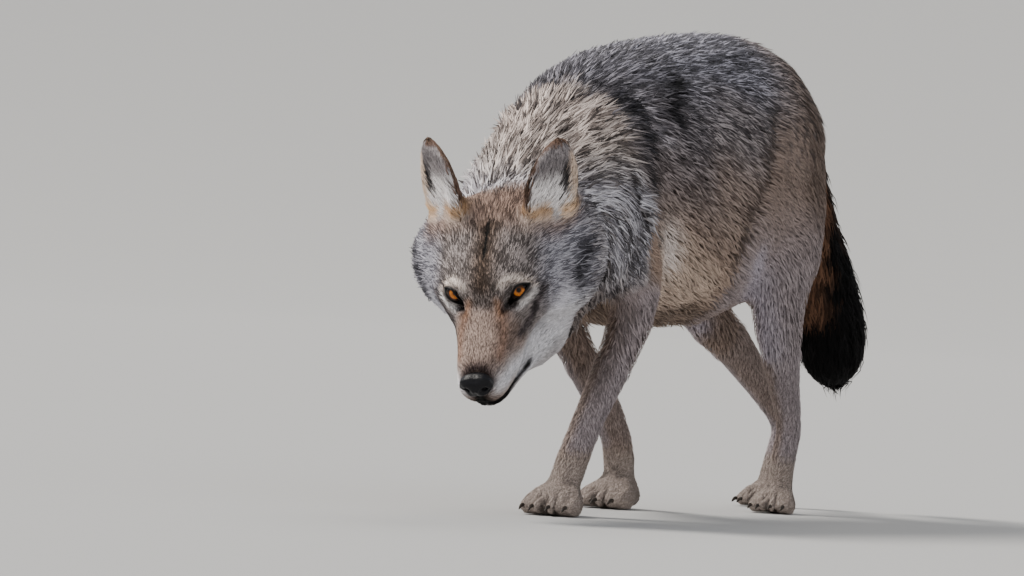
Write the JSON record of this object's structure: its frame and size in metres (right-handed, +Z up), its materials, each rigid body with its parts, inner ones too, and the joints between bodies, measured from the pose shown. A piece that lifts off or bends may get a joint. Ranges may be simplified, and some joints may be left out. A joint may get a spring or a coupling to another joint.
{
  "type": "life-size wolf model",
  "caption": "Still life-size model of a grey wolf in a low walking pose, with its head down and turned towards its left.",
  "frame": {"origin": "on the floor, under the middle of the wolf's overall box", "axes": "+Z up, +X to the wolf's left, +Y towards its tail, so that it faces -Y"},
  "size_m": [0.3062, 1.2822, 0.6751],
  "materials": {
    "coat_body": "long guard hair over woolly underfur, cream and grey with black tips",
    "coat_head": "short peppered grey-brown fur, white at lips and cheeks, rufous beside the muzzle",
    "coat_leg": "short flat taupe fur, paler on the paws",
    "coat_tail": "bushy rufous-brown fur with a black end",
    "coat_ear": "short brown velvet outside, long pale hair inside",
    "eye": "wet amber iris with a black pupil",
    "nose": "moist black pebbled leather",
    "claw": "dark horn"
  },
  "bodies": {
    "root": {"head": "coat_head", "jaw": "coat_head", "neck": "coat_body", "trunk": "coat_body", "tail": "coat_tail", "ear_left": "coat_ear", "eye_left": "eye", "ear_right": "coat_ear", "eye_right": "eye", "nose": "nose", "fore_left_upper": "coat_leg", "fore_left_lower": "coat_leg", "fore_left_paw": "coat_leg", "fore_left_claw_inner": "claw", "fore_left_claw_middle_inner": "claw", "fore_left_claw_middle_outer": "claw", "fore_left_claw_outer": "claw", "fore_right_upper": "coat_leg", "fore_right_lower": "coat_leg", "fore_right_paw": "coat_leg", "fore_right_claw_inner": "claw", "fore_right_claw_middle_inner": "claw", "fore_right_claw_middle_outer": "claw", "fore_right_claw_outer": "claw", "hind_left_upper": "coat_leg", "hind_left_lower": "coat_leg", "hind_left_paw": "coat_leg", "hind_left_claw_inner": "claw", "hind_left_claw_middle_inner": "claw", "hind_left_claw_middle_outer": "claw", "hind_left_claw_outer": "claw", "hind_right_upper": "coat_leg", "hind_right_lower": "coat_leg", "hind_right_paw": "coat_leg", "hind_right_claw_inner": "claw", "hind_right_claw_middle_inner": "claw", "hind_right_claw_middle_outer": "claw", "hind_right_claw_outer": "claw"}
  },
  "joints": []
}
